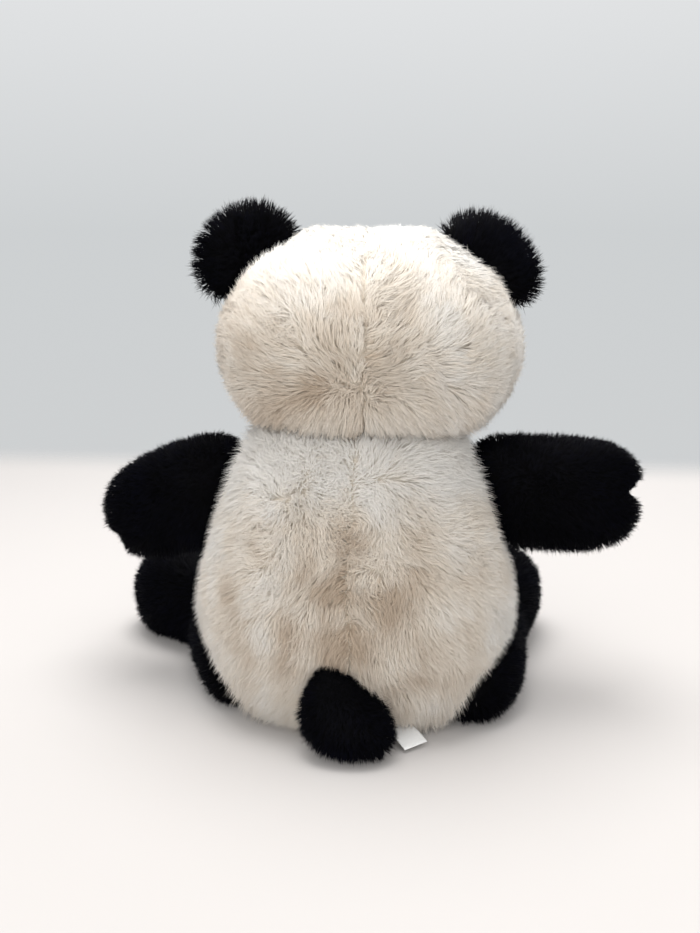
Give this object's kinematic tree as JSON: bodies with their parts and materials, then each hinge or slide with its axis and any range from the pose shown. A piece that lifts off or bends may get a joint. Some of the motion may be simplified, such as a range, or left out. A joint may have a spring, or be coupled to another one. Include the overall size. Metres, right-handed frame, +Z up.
{
  "type": "plush panda",
  "caption": "Seated plush panda with cream body and head, black limbs, ears and tail, sewn from pile panels over stuffing, with flexing limbs and a turning head.",
  "frame": {"origin": "centre of the flat seat, on the surface that the panda sits on", "axes": "+Z up, +Y out of the panda's back, +X to the panda's left; the panda faces -Y"},
  "size_m": [0.2795, 0.1987, 0.2497],
  "materials": {
    "cream_pile": "long soft pile",
    "black_pile": "short dense pile",
    "polyester_filling": "loose fibre",
    "bean_bag_cloth": "plain weave",
    "black_plastic": "polished",
    "white_plastic": "moulded",
    "black_thread": "embroidery thread",
    "cream_thread": "sewing thread",
    "label_satin": "satin ribbon"
  },
  "bodies": {
    "torso": {"back_panel_left": "cream_pile", "back_panel_right": "cream_pile", "belly_panel": "cream_pile", "seat_panel": "cream_pile", "torso_filling": "polyester_filling", "bean_bag": "bean_bag_cloth", "closing_stitches": "cream_thread", "care_label": "label_satin"},
    "neck": {"neck_filling": "polyester_filling"},
    "head": {"eye_left": "black_plastic", "eye_patch_left": "black_pile", "eye_patch_right": "black_pile", "eye_right": "black_plastic", "eye_washer_left": "white_plastic", "eye_washer_right": "white_plastic", "face_panel_left": "cream_pile", "face_panel_right": "cream_pile", "head_back_left": "cream_pile", "head_back_right": "cream_pile", "head_filling": "polyester_filling", "mouth_stitch": "black_thread", "muzzle": "cream_pile", "nose": "black_plastic", "nose_washer": "white_plastic"},
    "tail": {"tail_filling": "polyester_filling", "tail_inner": "black_pile", "tail_outer": "black_pile"},
    "ear_left": {"ear_back_left": "black_pile", "ear_front_left": "black_pile"},
    "arm_left": {"arm_back_left": "black_pile", "arm_front_left": "black_pile", "arm_filling_left": "polyester_filling"},
    "leg_left": {"leg_outer_left": "black_pile", "leg_inner_left": "black_pile", "foot_sole_left": "black_pile", "leg_filling_left": "polyester_filling"},
    "ear_right": {"ear_back_right": "black_pile", "ear_front_right": "black_pile"},
    "arm_right": {"arm_back_right": "black_pile", "arm_front_right": "black_pile", "arm_filling_right": "polyester_filling"},
    "leg_right": {"leg_outer_right": "black_pile", "leg_inner_right": "black_pile", "foot_sole_right": "black_pile", "leg_filling_right": "polyester_filling"}
  },
  "joints": [
    {"name": "neck_turn", "type": "hinge", "parent": "torso", "child": "neck", "pos_m": [-0.003, -0.002, 0.1475], "axis": [0, 0, 1], "range_deg": [-25, 25], "stiffness_Nm_per_rad": 0.3},
    {"name": "head_nod", "type": "hinge", "parent": "neck", "child": "head", "pos_m": [-0.003, -0.002, 0.1475], "axis": [1, 0, 0], "range_deg": [-7, 7], "stiffness_Nm_per_rad": 1.5},
    {"name": "ear_flex_left", "type": "hinge", "parent": "head", "child": "ear_left", "pos_m": [0.049, -0.004, 0.2195], "axis": [0.788, 0, -0.6157], "range_deg": [-25, 25], "stiffness_Nm_per_rad": 0.03},
    {"name": "ear_flex_right", "type": "hinge", "parent": "head", "child": "ear_right", "pos_m": [-0.059, -0.004, 0.2175], "axis": [0.788, 0, 0.6157], "range_deg": [-25, 25], "stiffness_Nm_per_rad": 0.03},
    {"name": "arm_swing_left", "type": "hinge", "parent": "torso", "child": "arm_left", "pos_m": [0.062, 0, 0.1115], "axis": [0.3256, 0, -0.9455], "range_deg": [-25, 15], "stiffness_Nm_per_rad": 0.12},
    {"name": "arm_swing_right", "type": "hinge", "parent": "torso", "child": "arm_right", "pos_m": [-0.062, 0, 0.1115], "axis": [0.309, 0, 0.9511], "range_deg": [-18, 30], "stiffness_Nm_per_rad": 0.12},
    {"name": "leg_lift_left", "type": "hinge", "parent": "torso", "child": "leg_left", "pos_m": [0.057, -0.006, 0.022], "axis": [-0.7934, -0.6087, 0], "range_deg": [0, 12], "stiffness_Nm_per_rad": 0.08},
    {"name": "leg_lift_right", "type": "hinge", "parent": "torso", "child": "leg_right", "pos_m": [-0.055, -0.002, 0.022], "axis": [-0.9762, 0.2169, 0], "range_deg": [0, 20], "stiffness_Nm_per_rad": 0.08},
    {"name": "tail_lift", "type": "hinge", "parent": "torso", "child": "tail", "pos_m": [0.009, 0.064, 0.041], "axis": [1, 0, 0], "range_deg": [0, 40], "stiffness_Nm_per_rad": 0.01}
  ]
}
